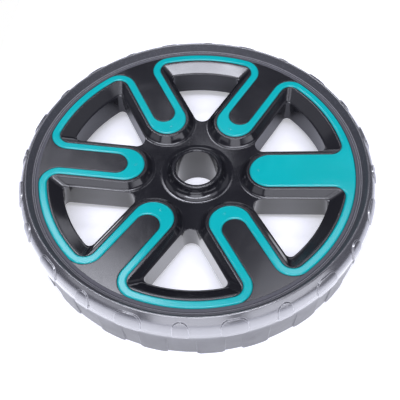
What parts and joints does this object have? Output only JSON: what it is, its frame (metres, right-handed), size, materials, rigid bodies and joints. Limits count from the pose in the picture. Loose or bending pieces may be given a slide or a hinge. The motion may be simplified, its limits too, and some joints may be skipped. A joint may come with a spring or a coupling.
{
  "type": "wheel",
  "caption": "Spoked cart wheel with a dark moulded body, dished face, windows between raised spokes, a winding coloured inlay, a plain hub bore and a tyre ring with tread pads.",
  "frame": {"origin": "centre of the bore on the plane of the wheel's back, on which it lies", "axes": "+Z along the bore towards the dished front face; +X along the fully coloured spoke"},
  "size_m": [0.2002, 0.2002, 0.0349],
  "materials": {
    "body_plastic": "dark grey, smooth moulded, semi-gloss",
    "inlay_plastic": "turquoise, smooth moulded, glossy",
    "tyre": "dark grey, satin tread, fine-grained side"
  },
  "bodies": {
    "root": {"wheel_body": "body_plastic", "inlay": "inlay_plastic", "tyre": "tyre"}
  },
  "joints": []
}
